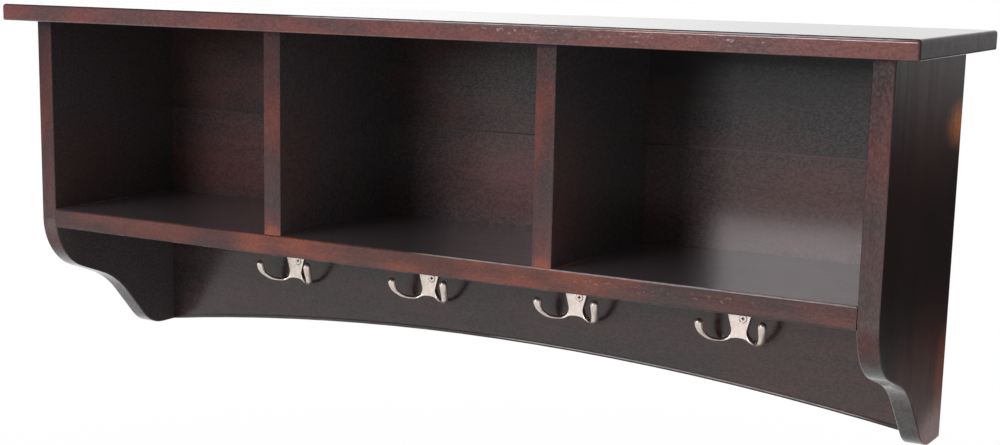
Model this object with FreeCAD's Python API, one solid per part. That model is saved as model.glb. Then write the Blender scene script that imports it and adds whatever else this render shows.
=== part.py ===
import FreeCAD, Part
import math
import os

# Wall coat rack with three cubbies and four double hooks. Millimetres.
# X runs to the right, Y into the wall and Z up. The origin lies on the wall plane at
# mid-width, level with the seats of the two keyhole slots that the rack hangs from.

V = FreeCAD.Vector
OUT_OF_WALL = V(0, -1, 0)
INTO_WALL = V(0, 1, 0)

# Overall sizes
top_length = 914.0
top_depth = 212.0
top_thickness = 16.0
rack_height = 348.0
end_overhang = 24.0
front_overhang = 23.5
hanging_drop = 40.0

# Boards
side_thickness = 18.0
divider_thickness = 19.0
shelf_thickness = 19.0
cubby_height = 188.0
back_thickness = 8.0
seam_drop = 113.5

# Eased edges
top_upper_round = 3.0
top_lower_round = 1.5
top_corner_round = 2.5
side_round = 1.2
divider_round = 1.0
shelf_round = 1.5
seam_chamfer = 0.7

# Ogee bracket at the foot of each side panel, from the front edge back to the wall. Its arcs
# are shares of its reach, and its two slopes are shares of its height over its reach.
bracket_height = 134.0
bracket_foot_length = 27.0
bracket_nose_share = 0.359
bracket_hollow_share = 0.570
bracket_foot_share = 0.248
bracket_shallow_share = 0.439
bracket_steep_share = 1.339

# Arched and beaded lower edge of the back
arch_rise = 30.5
bead_width = 3.0
quirk_width = 0.9
quirk_depth = 1.0
bead_round = 1.3

# Joints between boards
fit_gap = 0.05
groove_gap = 0.2
end_tongue_length = 3.0
end_tongue_thickness = 4.0
seam_tongue_height = 4.0
seam_tongue_thickness = 2.6

# Dowels
dowel_diameter = 8.0
dowel_length = 30.0
dowel_chamfer = 0.8
dowel_hole_spare = 0.5
dowel_edge_distance = 35.0
dowel_depth_in_top = 11.0
dowel_depth_in_side = 10.0
dowel_depth_in_shelf = 12.0
dowels_per_end = 3
dowels_per_divider = 2

# Panel pins through the back
pin_diameter = 1.6
pin_length = 25.0
pin_head_diameter = 3.2
pin_head_thickness = 0.8
pin_edge_distance = 25.0
shelf_pin_count = 6

# Hooks, with heights measured down from the top face of the rack
hook_count = 4
hook_pitch = 165.5
hook_row_shift = 2.0
hook_plate_thickness = 3.0
hook_plate_drop = 245.0
hook_plate_height = 38.5
hook_head_half_width = 13.8
hook_head_crown = 4.5
hook_head_corner = 3.0
hook_waist_half_width = 7.5
hook_waist_radius = 8.5
hook_waist_above_notch = 7.3
hook_side_slope = 15.0
hook_leg_slope = 52.0
hook_leg_thickness = 3.0
hook_front_chamfer = 0.6

# Hook arms: a thin root that dips, sweeps outward and forward, and turns up to a round tip
arm_plan_angle = 52.0
arm_root_offset = 8.0
arm_root_above_toe = 3.4
arm_root_slope = -40.0
arm_dip_length = 9.5
arm_sweep_length = 21.0
arm_sweep_slope = 43.0
arm_upturn_length = 11.5
arm_tip_slope = 87.0
arm_root_width = 2.6
arm_root_thickness = 2.2
arm_dip_width = 5.4
arm_dip_thickness = 2.3
arm_neck_width = 5.8
arm_neck_thickness = 4.2
arm_tip_diameter = 7.2
arm_sections_per_run = 4
arm_dome_sections = 3
arm_dome_angle = 75.0

# Hook screws, a diagonal pair in each plate
screw_head_diameter = 6.8
screw_shank_diameter = 3.4
screw_length = 10.0
screw_rim = 0.3
screw_offset = 3.6
screw_lower_drop = 264.5
screw_upper_drop = 253.0

# Cross recess of every screw
recess_span_share = 0.55
recess_slot_share = 0.14
recess_depth_share = 0.22

# Keyhole plates let into the rear edges of the side panels
keyhole_width = 15.0
keyhole_height = 44.0
keyhole_thickness = 2.0
keyhole_entry_diameter = 9.6
keyhole_slot_width = 4.8
keyhole_travel = 10.0
keyhole_seat_above_centre = 5.0
keyhole_pocket_width = 10.6
keyhole_pocket_depth = 9.0
keyhole_screw_spacing = 35.0
keyhole_screw_head_diameter = 6.0
keyhole_screw_shank_diameter = 3.0
keyhole_screw_length = 16.0

# How far a cutting shape runs past what it cuts, and how near two places count as one
overrun = 1.0
same_place = 0.001

# Places worked out from the sizes
top_z = hanging_drop
under_top_z = top_z - top_thickness
floor_z = top_z - rack_height
shelf_top_z = under_top_z - cubby_height
shelf_under_z = shelf_top_z - shelf_thickness
seam_z = top_z - seam_drop
front_y = front_overhang - top_depth
back_face_y = -back_thickness
outer_x = top_length / 2 - end_overhang
inner_x = outer_x - side_thickness
cubby_width = (2 * inner_x - 2 * divider_thickness) / 3
divider_x = (cubby_width + divider_thickness) / 2
bracket_reach = -front_y - bracket_foot_length
bracket_nose_radius = bracket_nose_share * bracket_reach
bracket_hollow_radius = bracket_hollow_share * bracket_reach
bracket_foot_radius = bracket_foot_share * bracket_reach


def box(x0, x1, y0, y1, z0, z1):
    return Part.makeBox(x1 - x0, y1 - y0, z1 - z0, V(x0, y0, z0))


def rod(radius, start, direction, length):
    return Part.makeCylinder(radius, length, start, direction)


def evenly(first, last, count):
    step = (last - first) / max(count - 1, 1)
    return [first + step * i for i in range(count)]


def on_plane(edge, axis, value):
    return all(abs(getattr(v.Point, axis) - value) < same_place for v in edge.Vertexes)


def runs_along(edge, axis):
    start = edge.Vertexes[0].Point
    return all(on_plane(edge, other, getattr(start, other)) for other in "xyz" if other != axis)


def aimed(shape, point, direction):
    """Turns a shape built along +Z to look along the direction, and moves it to the point."""
    placed = shape.copy()
    placed.Placement = FreeCAD.Placement(point, FreeCAD.Rotation(V(0, 0, 1), direction))
    return placed


class Outline:
    """A run of tangent lines and arcs in the YZ plane, drawn by heading and length."""

    def __init__(self, x, y, z, heading):
        self.x, self.y, self.z, self.heading = x, y, z, heading
        self.edges = []

    def point(self):
        return V(self.x, self.y, self.z)

    def line(self, length):
        start = self.point()
        self.y += length * math.cos(math.radians(self.heading))
        self.z += length * math.sin(math.radians(self.heading))
        self.edges.append(Part.LineSegment(start, self.point()).toShape())

    def turn(self, radius, heading):
        begin = math.radians(self.heading)
        reach = radius if heading > self.heading else -radius
        points = [self.point()]
        for part_way in ((self.heading + heading) / 2, heading):
            angle = math.radians(part_way)
            y = self.y + reach * (math.sin(angle) - math.sin(begin))
            z = self.z - reach * (math.cos(angle) - math.cos(begin))
            points.append(V(self.x, y, z))
        self.y, self.z, self.heading = y, z, heading
        self.edges.append(Part.Arc(*points).toShape())

    def close(self, *points):
        corners = [self.point(), *points, self.edges[0].Vertexes[0].Point]
        for a, b in zip(corners, corners[1:]):
            self.edges.append(Part.LineSegment(a, b).toShape())
        return Part.Face(Part.Wire(Part.__sortEdges__(self.edges)))


def dowel(centre_start, direction):
    radius = dowel_diameter / 2
    body = rod(radius, V(0, 0, 0), V(0, 0, 1), dowel_length)
    ends = [e for e in body.Edges if e.isClosed() and len(e.Vertexes) == 1]
    return aimed(body.makeChamfer(dowel_chamfer, ends), centre_start, direction)


def dowel_hole(start, direction):
    """A hole that takes a whole dowel and the spare depth at both of its ends."""
    radius = dowel_diameter / 2 + fit_gap
    begin = start - direction * dowel_hole_spare
    return rod(radius, begin, direction, dowel_length + 2 * dowel_hole_spare)


def end_dowel_places():
    """Dowels between the shelf and the side panels, one list of (start, direction)."""
    z = (shelf_top_z + shelf_under_z) / 2
    ys = evenly(back_face_y - dowel_edge_distance, front_y + dowel_edge_distance, dowels_per_end)
    depth_x = inner_x + dowel_depth_in_side
    return [(V(side * depth_x, y, z), V(-side, 0, 0)) for side in (-1, 1) for y in ys]


def side_top_dowel_places():
    """Dowels between the side panels and the top board."""
    x = (inner_x + outer_x) / 2
    ys = evenly(back_face_y - dowel_edge_distance, front_y + dowel_edge_distance, dowels_per_end)
    z = under_top_z + dowel_depth_in_top
    return [(V(side * x, y, z), V(0, 0, -1)) for side in (-1, 1) for y in ys]


def divider_dowel_places():
    """Dowels at the top and the foot of each divider."""
    ys = evenly(back_face_y - dowel_edge_distance, front_y + dowel_edge_distance, dowels_per_divider)
    places = []
    for side in (-1, 1):
        for y in ys:
            places.append((V(side * divider_x, y, under_top_z + dowel_depth_in_top), V(0, 0, -1)))
            places.append((V(side * divider_x, y, shelf_top_z - dowel_depth_in_shelf), V(0, 0, 1)))
    return places


def drilled(board, places):
    for start, direction in places:
        board = board.cut(dowel_hole(start, direction))
    return board


def pin_places():
    """Panel pins: a row into the shelf, and three into the rear edge of each divider."""
    shelf_z = (shelf_top_z + shelf_under_z) / 2
    xs = evenly(-inner_x + pin_edge_distance, inner_x - pin_edge_distance, shelf_pin_count)
    places = [V(x, 0, shelf_z) for x in xs]
    divider_zs = (
        under_top_z - pin_edge_distance,
        seam_z + pin_edge_distance,
        (seam_z + shelf_top_z) / 2,
    )
    for side in (-1, 1):
        places += [V(side * divider_x, 0, z) for z in divider_zs]
    return places


def pin(spare=0.0):
    """A panel pin with its head's top at the origin, pointing down."""
    head = rod(pin_head_diameter / 2 + spare, V(0, 0, -pin_head_thickness - spare), V(0, 0, 1),
               pin_head_thickness + spare)
    shank = rod(pin_diameter / 2 + spare, V(0, 0, -pin_length - spare), V(0, 0, 1),
                pin_length - pin_head_thickness)
    return head.fuse(shank).removeSplitter()


def pinned(board):
    hole = pin(fit_gap)
    for place in pin_places():
        board = board.cut(aimed(hole, place, INTO_WALL))
    return board


def screw_body(head_diameter, shank_diameter, length, spare=0.0):
    """A countersunk screw with its head's top at the origin, pointing down."""
    head, shank = head_diameter / 2 + spare, shank_diameter / 2 + spare
    tip_z = -length - spare
    corners = [
        V(0, 0, 0),
        V(head, 0, 0),
        V(head, 0, -screw_rim),
        V(shank, 0, -screw_rim - (head - shank)),
        V(shank, 0, tip_z + shank_diameter),
        V(0, 0, tip_z),
    ]
    face = Part.Face(Part.makePolygon(corners + corners[:1]))
    return face.revolve(V(0, 0, 0), V(0, 0, 1), 360)


def screw(head_diameter, shank_diameter, length):
    body = screw_body(head_diameter, shank_diameter, length)
    half = head_diameter * recess_span_share / 2
    slot = head_diameter * recess_slot_share / 2
    deep = head_diameter * recess_depth_share
    cross = box(-half, half, -slot, slot, -deep, overrun)
    cross = cross.fuse(box(-slot, slot, -half, half, -deep, overrun))
    return body.cut(cross.removeSplitter())


def top_board():
    board = box(-top_length / 2, top_length / 2, -top_depth, 0, under_top_z, top_z)
    corners = [e for e in board.Edges if on_plane(e, "y", -top_depth) and runs_along(e, "z")]
    board = board.makeFillet(top_corner_round, corners)
    for level, radius in ((top_z, top_upper_round), (under_top_z, top_lower_round)):
        rim = [e for e in board.Edges if on_plane(e, "z", level) and not on_plane(e, "y", 0)]
        board = board.makeFillet(radius, rim)
    return drilled(board, side_top_dowel_places() + divider_dowel_places())


def bracket_slopes():
    pitch = bracket_height / bracket_reach
    return math.atan(bracket_shallow_share * pitch), math.atan(bracket_steep_share * pitch)


def bracket_straights():
    """Lengths of the shallow and the steep straight that join the three bracket arcs."""
    a, b = bracket_slopes()
    down = bracket_height - bracket_nose_radius * math.cos(a)
    down -= bracket_hollow_radius * (math.cos(a) - math.cos(b))
    down -= bracket_foot_radius * (1 - math.cos(b))
    back = bracket_reach - bracket_nose_radius * (1 - math.sin(a))
    back -= bracket_hollow_radius * (math.sin(b) - math.sin(a))
    back -= bracket_foot_radius * math.sin(b)
    turn = math.sin(a - b)
    shallow = (down * math.cos(b) - back * math.sin(b)) / turn
    steep = (back * math.sin(a) - down * math.cos(a)) / turn
    return shallow, steep


def side_face(x):
    """The outline of a side panel, with its ogee bracket, on the plane at x."""
    shallow_slope, steep_slope = (math.degrees(slope) for slope in bracket_slopes())
    shallow, steep = bracket_straights()
    outline = Outline(x, front_y, under_top_z, -90)
    outline.line(under_top_z - floor_z - bracket_height)
    outline.turn(bracket_nose_radius, -shallow_slope)
    outline.line(shallow)
    outline.turn(bracket_hollow_radius, -steep_slope)
    outline.line(steep)
    outline.turn(bracket_foot_radius, 0)
    return outline.close(V(x, 0, floor_z), V(x, 0, under_top_z))


def keyhole_pocket():
    """The routed room behind a keyhole plate, for the head of a wall screw."""
    radius = keyhole_pocket_width / 2
    seat, entry = V(0, 0, 0), V(0, 0, -keyhole_travel)
    room = rod(radius, entry, OUT_OF_WALL, keyhole_pocket_depth)
    room = room.fuse(rod(radius, seat, OUT_OF_WALL, keyhole_pocket_depth))
    room = room.fuse(box(-radius, radius, -keyhole_pocket_depth, 0, -keyhole_travel, 0))
    return room.removeSplitter()


def keyhole_outline(spare=0.0):
    """The plate's blank, with round ends, its rear face flush with the wall plane."""
    radius = keyhole_width / 2 + spare
    centre_z = -keyhole_seat_above_centre
    reach = keyhole_height / 2 - keyhole_width / 2
    deep = keyhole_thickness
    blank = box(-radius, radius, -deep, 0, centre_z - reach, centre_z + reach)
    for z in (centre_z - reach, centre_z + reach):
        blank = blank.fuse(rod(radius, V(0, 0, z), OUT_OF_WALL, deep))
    return blank.removeSplitter()


def keyhole_screw_places(x):
    centre_z = -keyhole_seat_above_centre
    half = keyhole_screw_spacing / 2
    return [V(x, 0, centre_z - half), V(x, 0, centre_z + half)]


def keyhole_screw_hole():
    return screw_body(keyhole_screw_head_diameter, keyhole_screw_shank_diameter,
                      keyhole_screw_length, fit_gap)


def keyhole_plate(x):
    plate = keyhole_outline()
    entry = V(0, overrun, -keyhole_travel)
    through = keyhole_thickness + 2 * overrun
    plate = plate.cut(rod(keyhole_entry_diameter / 2, entry, OUT_OF_WALL, through))
    plate = plate.cut(rod(keyhole_slot_width / 2, V(0, overrun, 0), OUT_OF_WALL, through))
    half = keyhole_slot_width / 2
    plate = plate.cut(box(-half, half, -keyhole_thickness - overrun, overrun, -keyhole_travel, 0))
    plate.translate(V(x, 0, 0))
    for place in keyhole_screw_places(x):
        plate = plate.cut(aimed(keyhole_screw_hole(), place, INTO_WALL))
    return plate


def side_panel(side):
    x = min(side * inner_x, side * outer_x)
    panel = side_face(x).extrude(V(side_thickness, 0, 0))
    rim = [
        e for e in panel.Edges
        if (on_plane(e, "x", x) or on_plane(e, "x", x + side_thickness))
        and not on_plane(e, "y", 0) and not on_plane(e, "z", under_top_z)
    ]
    panel = panel.makeFillet(side_round, rim)
    groove_reach = inner_x + end_tongue_length + groove_gap
    groove = box(
        min(side * (inner_x - overrun), side * groove_reach),
        max(side * (inner_x - overrun), side * groove_reach),
        back_face_y - groove_gap, back_face_y + end_tongue_thickness + groove_gap,
        floor_z - overrun, under_top_z + overrun,
    )
    panel = drilled(panel.cut(groove), end_dowel_places() + side_top_dowel_places())
    middle = V(side * (inner_x + outer_x) / 2, 0, 0)
    for room in (keyhole_pocket(), keyhole_outline(fit_gap)):
        room.translate(middle)
        panel = panel.cut(room)
    for place in keyhole_screw_places(middle.x):
        panel = panel.cut(aimed(keyhole_screw_hole(), place, INTO_WALL))
    return panel


def divider(side):
    half = divider_thickness / 2
    board = box(side * divider_x - half, side * divider_x + half, front_y, back_face_y,
                shelf_top_z, under_top_z)
    arrises = [e for e in board.Edges if on_plane(e, "y", front_y) and runs_along(e, "z")]
    board = board.makeFillet(divider_round, arrises)
    return pinned(drilled(board, divider_dowel_places()))


def shelf():
    board = box(-inner_x, inner_x, front_y, back_face_y, shelf_under_z, shelf_top_z)
    arrises = [e for e in board.Edges if on_plane(e, "y", front_y) and runs_along(e, "x")]
    board = board.makeFillet(shelf_round, arrises)
    return pinned(drilled(board, end_dowel_places() + divider_dowel_places()))


def back_blank(z0, z1):
    """A back board between the sides, with a bare-faced tongue at each end."""
    board = box(-inner_x, inner_x, back_face_y, 0, z0, z1)
    reach = inner_x + end_tongue_length
    return board.fuse(box(-reach, reach, back_face_y, back_face_y + end_tongue_thickness, z0, z1))


def seam_arris(board):
    """Chamfers the front edge of a back board along the seam."""
    edges = [e for e in board.Edges if on_plane(e, "y", back_face_y) and on_plane(e, "z", seam_z)]
    return board.makeChamfer(seam_chamfer, edges)


def seam_tongue(spare=0.0):
    middle = back_face_y / 2
    half = seam_tongue_thickness / 2 + spare
    reach = inner_x + (overrun + end_tongue_length if spare else 0)
    return box(-reach, reach, middle - half, middle + half,
               seam_z - overrun, seam_z + seam_tongue_height + spare)


def upper_back_board():
    board = seam_arris(back_blank(seam_z, under_top_z).removeSplitter())
    return pinned(board.cut(seam_tongue(groove_gap)))


def arch_radius():
    return (inner_x ** 2 + arch_rise ** 2) / (2 * arch_rise)


def arch_disc(radius, depth):
    """A disc about the arch's centre, from the back's front face to the given depth in it."""
    centre = V(0, back_face_y - overrun, floor_z + arch_rise - arch_radius())
    return rod(radius, centre, INTO_WALL, depth + overrun)


def lower_back_board():
    board = seam_arris(back_blank(floor_z, seam_z).removeSplitter())
    board = board.fuse(seam_tongue()).removeSplitter()
    board = board.cut(arch_disc(arch_radius(), back_thickness + overrun))
    quirk_inner = arch_radius() + bead_width
    quirk = arch_disc(quirk_inner + quirk_width, quirk_depth).cut(
        arch_disc(quirk_inner, quirk_depth))
    board = board.cut(quirk)
    edge = [
        e for e in board.Edges
        if on_plane(e, "y", back_face_y) and e.Curve.TypeId == "Part::GeomCircle"
        and abs(e.Curve.Radius - arch_radius()) < same_place
    ]
    board = pinned(board.makeFillet(bead_round, edge))
    for x in hook_xs():
        for place in hook_screw_places(x):
            board = board.cut(hook_screw_hole(place))
    return board


def hook_xs():
    half = hook_pitch * (hook_count - 1) / 2
    return evenly(hook_row_shift - half, hook_row_shift + half, hook_count)


def hook_screw_places(x):
    y = back_face_y - hook_plate_thickness
    return [
        V(x + screw_offset, y, top_z - screw_lower_drop),
        V(x - screw_offset, y, top_z - screw_upper_drop),
    ]


def hook_screw_hole(place):
    body = screw_body(screw_head_diameter, screw_shank_diameter, screw_length, fit_gap)
    return aimed(body, place, OUT_OF_WALL)


def hook_plate_face(x):
    """Half of the waisted plate's outline is worked out, and both halves share it."""
    top = top_z - hook_plate_drop
    notch = top - hook_plate_height
    waist_z = notch + hook_waist_above_notch
    side, leg = math.radians(hook_side_slope), math.radians(hook_leg_slope)
    waist_x = hook_waist_half_width + hook_waist_radius
    upper = (waist_x - hook_waist_radius * math.cos(side), waist_z + hook_waist_radius * math.sin(side))
    foot = (waist_x - hook_waist_radius * math.cos(leg), waist_z - hook_waist_radius * math.sin(leg))
    head = (hook_head_half_width, upper[1] + (hook_head_half_width - upper[0]) / math.tan(side))
    toe = (foot[0] + hook_leg_thickness * math.sin(leg) / 2, foot[1] - hook_leg_thickness)

    def at(sign, place):
        return V(x + sign * place[0], back_face_y, place[1])

    def arc(a, b, c):
        return Part.Arc(a, b, c).toShape()

    def line(a, b):
        return Part.LineSegment(a, b).toShape()

    edges = [
        arc(at(-1, head), V(x, back_face_y, head[1] + hook_head_crown), at(1, head)),
        arc(at(-1, toe), V(x, back_face_y, notch), at(1, toe)),
    ]
    for sign in (-1, 1):
        edges.append(line(at(sign, head), at(sign, upper)))
        edges.append(arc(at(sign, upper), at(sign, (hook_waist_half_width, waist_z)), at(sign, foot)))
        edges.append(line(at(sign, foot), at(sign, toe)))
    return Part.Face(Part.Wire(Part.__sortEdges__(edges))), head[1], toe


def arm_runs():
    """Each run of an arm: its length, and the slope, plan angle, width and thickness at its end."""
    return [
        (arm_dip_length, 0.0, arm_plan_angle, arm_dip_width, arm_dip_thickness),
        (arm_sweep_length, arm_sweep_slope, arm_plan_angle, arm_neck_width, arm_neck_thickness),
        (arm_upturn_length, arm_tip_slope, arm_plan_angle, arm_tip_diameter, arm_tip_diameter),
    ]


def arm_stations(root, side):
    """Centre, slope, plan angle, width and thickness of each section along an arm."""
    centre = root
    state = (arm_root_slope, 0.0, arm_root_width, arm_root_thickness)
    stations = [(centre, *state)]
    for length, *end in arm_runs():
        begin = state
        for i in range(arm_sections_per_run):
            middle_share = (i + 0.5) / arm_sections_per_run
            end_share = (i + 1) / arm_sections_per_run
            slope, plan = (a + (b - a) * middle_share for a, b in zip(begin[:2], end[:2]))
            step = arm_heading(slope, plan, side) * (length / arm_sections_per_run)
            centre = centre + step
            state = tuple(a + (b - a) * end_share for a, b in zip(begin, end))
            stations.append((centre, *state))
    return stations


def arm_heading(slope, plan, side):
    up, out = math.radians(slope), math.radians(plan)
    return V(side * math.cos(up) * math.cos(out), -math.cos(up) * math.sin(out), math.sin(up))


def arm_section(centre, slope, plan, width, thickness, side):
    """A flat ellipse across the arm, or a circle at its tip, each begun on the same side."""
    out = math.radians(plan)
    across = V(math.sin(out), side * math.cos(out), 0)
    up = arm_heading(slope, plan, side).cross(across) * side
    if abs(width - thickness) < same_place:
        curve = Part.Circle(centre, across.cross(up), width / 2)
        curve.XAxis = across
    else:
        curve = Part.Ellipse(centre + across * (width / 2), centre + up * (thickness / 2), centre)
    return Part.Wire(curve.toShape())


def arm_dome(station, side):
    """Smaller and smaller circles past the last station, which round off the tip."""
    centre, slope, plan, width, thickness = station
    ahead = arm_heading(slope, plan, side) * (width / 2)
    dome = []
    for i in range(arm_dome_sections):
        angle = math.radians(arm_dome_angle) * (i + 1) / arm_dome_sections
        across = width * math.cos(angle)
        dome.append((centre + ahead * math.sin(angle), slope, plan, across, across))
    return dome


def hook_arm(x, side, root_z):
    root = V(x + side * arm_root_offset, back_face_y - hook_plate_thickness / 2, root_z)
    stations = arm_stations(root, side)
    stations += arm_dome(stations[-1], side)
    return Part.makeLoft([arm_section(*station, side) for station in stations], True, True)


def hook(x):
    face, head_z, toe = hook_plate_face(x)
    plate = face.extrude(OUT_OF_WALL * hook_plate_thickness)
    corners = [e for e in plate.Edges if runs_along(e, "y") and on_plane(e, "z", head_z)]
    plate = plate.makeFillet(hook_head_corner, corners)
    front = back_face_y - hook_plate_thickness
    above_toes = toe[1] + hook_leg_thickness / 2
    arris = [e for e in plate.Edges if on_plane(e, "y", front) and e.Vertexes[0].Z > above_toes]
    body = plate.makeChamfer(hook_front_chamfer, arris)
    for side in (-1, 1):
        body = body.fuse(hook_arm(x, side, toe[1] + arm_root_above_toe))
    body = body.removeSplitter()
    for place in hook_screw_places(x):
        body = body.cut(hook_screw_hole(place))
    return body


def group(shapes):
    return Part.makeCompound(shapes)


def hook_screws():
    one = screw(screw_head_diameter, screw_shank_diameter, screw_length)
    return group([aimed(one, place, OUT_OF_WALL) for x in hook_xs() for place in hook_screw_places(x)])


def keyhole_xs():
    middle = (inner_x + outer_x) / 2
    return -middle, middle


def keyhole_screws():
    one = screw(keyhole_screw_head_diameter, keyhole_screw_shank_diameter, keyhole_screw_length)
    return group([aimed(one, place, INTO_WALL) for x in keyhole_xs() for place in keyhole_screw_places(x)])


def dowels(places):
    return group([dowel(start, direction) for start, direction in places])


def nodes():
    left_x, right_x = keyhole_xs()
    built = {
        "top_board": top_board(),
        "left_side": side_panel(-1),
        "right_side": side_panel(1),
        "left_divider": divider(-1),
        "right_divider": divider(1),
        "shelf": shelf(),
        "upper_back_board": upper_back_board(),
        "lower_back_board": lower_back_board(),
        "hook_screws": hook_screws(),
        "side_top_dowels": dowels(side_top_dowel_places()),
        "divider_dowels": dowels(divider_dowel_places()),
        "shelf_dowels": dowels(end_dowel_places()),
        "back_pins": group([aimed(pin(), place, INTO_WALL) for place in pin_places()]),
        "left_keyhole_plate": keyhole_plate(left_x),
        "right_keyhole_plate": keyhole_plate(right_x),
        "keyhole_screws": keyhole_screws(),
    }
    for number, x in enumerate(hook_xs(), 1):
        built["hook_" + str(number)] = hook(x)
    return built


os.makedirs("parts", exist_ok=True)
for name, shape in nodes().items():
    shape.exportStep("parts/" + name + ".step")
    print(name, len(shape.Solids), "solids", round(shape.Volume, 1), "mm3, valid:", shape.isValid())
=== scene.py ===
# Looks of the wall coat rack: stained boards, cast hooks, plain studio
import math
import bmesh
import bpy
from mathutils import Matrix, Vector


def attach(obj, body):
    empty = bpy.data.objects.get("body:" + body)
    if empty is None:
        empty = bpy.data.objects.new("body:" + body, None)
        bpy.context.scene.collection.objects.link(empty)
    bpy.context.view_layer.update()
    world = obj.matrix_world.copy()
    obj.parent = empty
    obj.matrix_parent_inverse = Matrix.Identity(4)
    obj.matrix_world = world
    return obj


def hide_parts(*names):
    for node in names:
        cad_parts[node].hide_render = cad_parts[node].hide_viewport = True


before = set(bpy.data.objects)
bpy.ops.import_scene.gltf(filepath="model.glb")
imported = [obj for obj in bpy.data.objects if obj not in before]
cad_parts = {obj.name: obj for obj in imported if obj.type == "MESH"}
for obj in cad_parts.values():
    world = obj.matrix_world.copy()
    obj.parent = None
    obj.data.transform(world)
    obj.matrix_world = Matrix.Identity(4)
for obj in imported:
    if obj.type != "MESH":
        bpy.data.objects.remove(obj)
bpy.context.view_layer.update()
print("frame loaded:", len(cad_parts), "nodes")


# Edges of the rack, read from the frame in metres, which the wear, the dust with its painted sheen and the
# painted lines of highlight and shade follow

def boxOf(name):
    # the low and the high corner of a piece
    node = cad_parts[name]
    points = [node.matrix_world @ vertex.co for vertex in node.data.vertices]
    return [Vector([pick(point[i] for point in points) for i in range(3)]) for pick in (min, max)]


topLow, topHigh = boxOf("top_board")
shelfLow, shelfHigh = boxOf("shelf")
edges = {
    "topFront": topLow.y, "topFace": topHigh.z, "topUnder": topLow.z, "wall": topHigh.y,
    "front": shelfLow.y, "shelfFace": shelfHigh.z, "shelfUnder": shelfLow.z,
    "inside": shelfHigh.x, "backFace": shelfHigh.y,
    "seam": boxOf("upper_back_board")[0].z, "foot": boxOf("lower_back_board")[0].z,
}
# the arched lower edge of the back, part of a circle about X = 0
arch = {"rise": 0.0305}
arch["radius"] = (edges["inside"] ** 2 + arch["rise"] ** 2) / (2 * arch["rise"])
arch["centreZ"] = edges["foot"] + arch["rise"] - arch["radius"]


# Node helpers

def addNode(tree, kind, **settings):
    node = tree.nodes.new(kind)
    for name, value in settings.items():
        setattr(node, name, value)
    return node


def feed(tree, socket, value):
    # a socket takes either another socket or a plain value
    if isinstance(value, bpy.types.NodeSocket):
        tree.links.new(value, socket)
    elif value is not None:
        socket.default_value = value


def calculate(tree, operation, a, b=None, clamp=False):
    node = addNode(tree, "ShaderNodeMath", operation=operation, use_clamp=clamp)
    feed(tree, node.inputs[0], a)
    feed(tree, node.inputs[1], b)
    return node.outputs[0]


def plus(tree, a, b):
    return calculate(tree, "ADD", a, b)


def minus(tree, a, b):
    return calculate(tree, "SUBTRACT", a, b)


def times(tree, a, b):
    return calculate(tree, "MULTIPLY", a, b)


def larger(tree, a, b):
    return calculate(tree, "MAXIMUM", a, b)


def distance(tree, a, b):
    return calculate(tree, "SQRT", plus(tree, times(tree, a, a), times(tree, b, b)))


def rangeOf(tree, value, low, high, toLow=0.0, toHigh=1.0, smooth=True):
    kind = "SMOOTHSTEP" if smooth else "LINEAR"
    node = addNode(tree, "ShaderNodeMapRange", interpolation_type=kind)
    for socket, item in zip(node.inputs, (value, low, high, toLow, toHigh)):
        feed(tree, socket, item)
    return node.outputs[0]


def fade(tree, value, start, stop):
    # the start where the value is 0, the stop where it is 1
    return rangeOf(tree, value, 0.0, 1.0, start, stop, smooth=False)


def mixColours(tree, factor, a, b):
    node = addNode(tree, "ShaderNodeMix", data_type="RGBA")
    feed(tree, node.inputs["Factor"], factor)
    feed(tree, node.inputs[6], a)
    feed(tree, node.inputs[7], b)
    return node.outputs[2]


def mixValues(tree, factor, a, b):
    node = addNode(tree, "ShaderNodeMix", data_type="FLOAT")
    feed(tree, node.inputs["Factor"], factor)
    feed(tree, node.inputs[2], a)
    feed(tree, node.inputs[3], b)
    return node.outputs[0]


def splitAxes(tree, vector):
    node = addNode(tree, "ShaderNodeSeparateXYZ")
    feed(tree, node.inputs[0], vector)
    return {axis: node.outputs[axis] for axis in "XYZ"}


def noise(tree, vector, scale, detail=3.0, roughness=0.55):
    node = addNode(tree, "ShaderNodeTexNoise")
    feed(tree, node.inputs["Vector"], vector)
    feed(tree, node.inputs["Scale"], scale)
    feed(tree, node.inputs["Detail"], detail)
    feed(tree, node.inputs["Roughness"], roughness)
    return node.outputs["Fac"]


def newMaterial(name):
    material = bpy.data.materials.new(name)
    material.use_nodes = True
    return material, material.node_tree, material.node_tree.nodes["Principled BSDF"]


def addRelief(tree, shader, height, depth, strength):
    bump = addNode(tree, "ShaderNodeBump")
    bump.inputs["Distance"].default_value = depth
    bump.inputs["Strength"].default_value = strength
    feed(tree, bump.inputs["Height"], height)
    feed(tree, shader.inputs["Normal"], bump.outputs[0])


def newGroup(name, inputs, outputs):
    # inputs and outputs give each socket's kind
    group = bpy.data.node_groups.new(name, "ShaderNodeTree")
    kinds = {"vector": "NodeSocketVector", "value": "NodeSocketFloat"}
    for direction, sockets in (("INPUT", inputs), ("OUTPUT", outputs)):
        for label, kind in sockets.items():
            group.interface.new_socket(label, in_out=direction, socket_type=kinds[kind])
    return group, addNode(group, "NodeGroupInput").outputs, addNode(group, "NodeGroupOutput").inputs


def useGroup(tree, group, **values):
    node = addNode(tree, "ShaderNodeGroup", node_tree=group)
    for name, value in values.items():
        feed(tree, node.inputs[name], value)
    return node.outputs


# Effects shared by several finishes

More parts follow.
